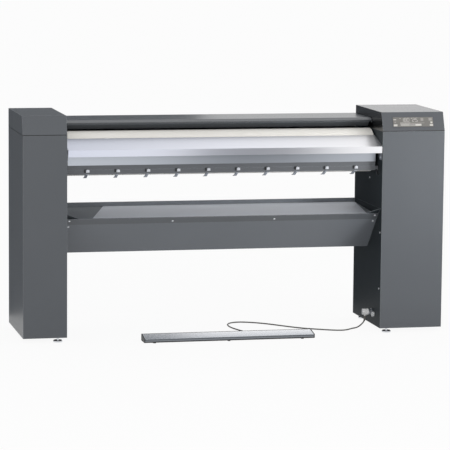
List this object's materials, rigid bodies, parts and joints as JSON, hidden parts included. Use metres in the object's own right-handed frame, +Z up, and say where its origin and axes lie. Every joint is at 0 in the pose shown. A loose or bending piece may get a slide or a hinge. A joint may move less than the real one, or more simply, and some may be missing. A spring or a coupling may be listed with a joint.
{
  "type": "flatwork ironer",
  "caption": "Roller ironer for flat linen: padded roller between two columns, swinging heated bed, feed table, laundry tray and a cabled foot bar on the floor.",
  "frame": {"origin": "centre of the footprint on the floor, foot bar included", "axes": "+X along the roller to the wide control column, +Y from the front to the back, +Z up"},
  "size_m": [2.034, 0.58, 1.061],
  "materials": {
    "casing_paint": "satin powder coat",
    "inner_paint": "smooth gloss",
    "frame_paint": "matte",
    "bright_sheet": "satin anodised",
    "cast_shoe": "machined",
    "steel": "zinc plated",
    "cloth": "woven",
    "felt": "needled felt",
    "rubber": "matte",
    "plastic": "fine texture",
    "pale_plastic": "smooth",
    "display": "gloss",
    "motor": "satin"
  },
  "bodies": {
    "stand": {"bed_motor": "motor", "bed_pivot_pins": "steel", "cable_plug": "plastic", "cable_socket": "steel", "casing_screws": "steel", "control_unit": "plastic", "cover_end_plates": "inner_paint", "display_glass": "display", "drive_belt": "rubber", "drive_motor": "motor", "feed_table": "bright_sheet", "foot_bar_base": "plastic", "foot_bar_ends": "plastic", "foot_bar_gland": "plastic", "foot_bar_pads": "rubber", "foot_bar_switches": "plastic", "foot_cable": "rubber", "guard_pins": "steel", "guard_switch": "plastic", "left_cap": "casing_paint", "left_front_panel": "casing_paint", "left_inner_panel": "inner_paint", "left_side_frame": "frame_paint", "levelling_feet": "steel", "outer_panels": "casing_paint", "panel_plugs": "pale_plastic", "rear_cross_beam": "frame_paint", "rear_panels": "casing_paint", "right_cap": "casing_paint", "right_front_panel": "casing_paint", "right_inner_panel": "inner_paint", "right_side_frame": "frame_paint", "roller_bearings": "steel", "roller_cover": "casing_paint", "table_brackets": "steel", "tray_cross_beam": "frame_paint", "tray_edge_strip": "casing_paint", "tray_end_plates": "inner_paint", "tray_floor": "casing_paint", "tray_front_panel": "casing_paint", "tray_screws": "steel", "tray_slide_plate": "bright_sheet"},
    "roller": {"roller_drum": "steel", "roller_padding": "felt", "roller_cloth": "cloth", "roller_pulley": "steel"},
    "motor_output": {"motor_pulley": "steel"},
    "bed": {"bed_shoe": "cast_shoe", "bed_heaters": "steel", "bed_insulation": "felt", "bed_casing": "bright_sheet", "bed_beam": "casing_paint", "stripper_fingers": "steel", "stripper_bolts": "steel", "bed_arms": "steel", "bed_sector": "steel"},
    "pinion": {"bed_pinion": "steel"},
    "guard": {"finger_guard": "casing_paint"},
    "tread": {"foot_bar_tread": "bright_sheet"}
  },
  "joints": [
    {"name": "roller_spin", "type": "hinge", "parent": "stand", "child": "roller", "pos_m": [-0.05, 0.013, 0.867], "axis": [1, 0, 0], "continuous": true},
    {"name": "motor_spin", "type": "hinge", "parent": "stand", "child": "motor_output", "pos_m": [-0.05, 0.2, 0.622], "axis": [1, 0, 0], "continuous": true},
    {"name": "bed_swing", "type": "hinge", "parent": "stand", "child": "bed", "pos_m": [-0.05, 0.043, 0.677], "axis": [1, 0, 0], "range_deg": [0, 8]},
    {"name": "pinion_spin", "type": "hinge", "parent": "stand", "child": "pinion", "pos_m": [-0.05, 0.043, 0.5], "axis": [1, 0, 0], "range_deg": [-45, 0]},
    {"name": "guard_tilt", "type": "hinge", "parent": "stand", "child": "guard", "pos_m": [-0.05, 0.015, 1.007], "axis": [1, 0, 0], "range_deg": [0, 6], "stiffness_Nm_per_rad": 2, "springref_deg": -2.86},
    {"name": "tread_press", "type": "hinge", "parent": "stand", "child": "tread", "pos_m": [-0.05, -0.22, 0.021], "axis": [1, 0, 0], "range_deg": [0, 3], "stiffness_Nm_per_rad": 40, "springref_deg": -1.72}
  ],
  "couplings": [
    {"joint": "motor_spin", "follows": "roller_spin", "ratio": 3},
    {"joint": "pinion_spin", "follows": "bed_swing", "ratio": -5.5556}
  ]
}
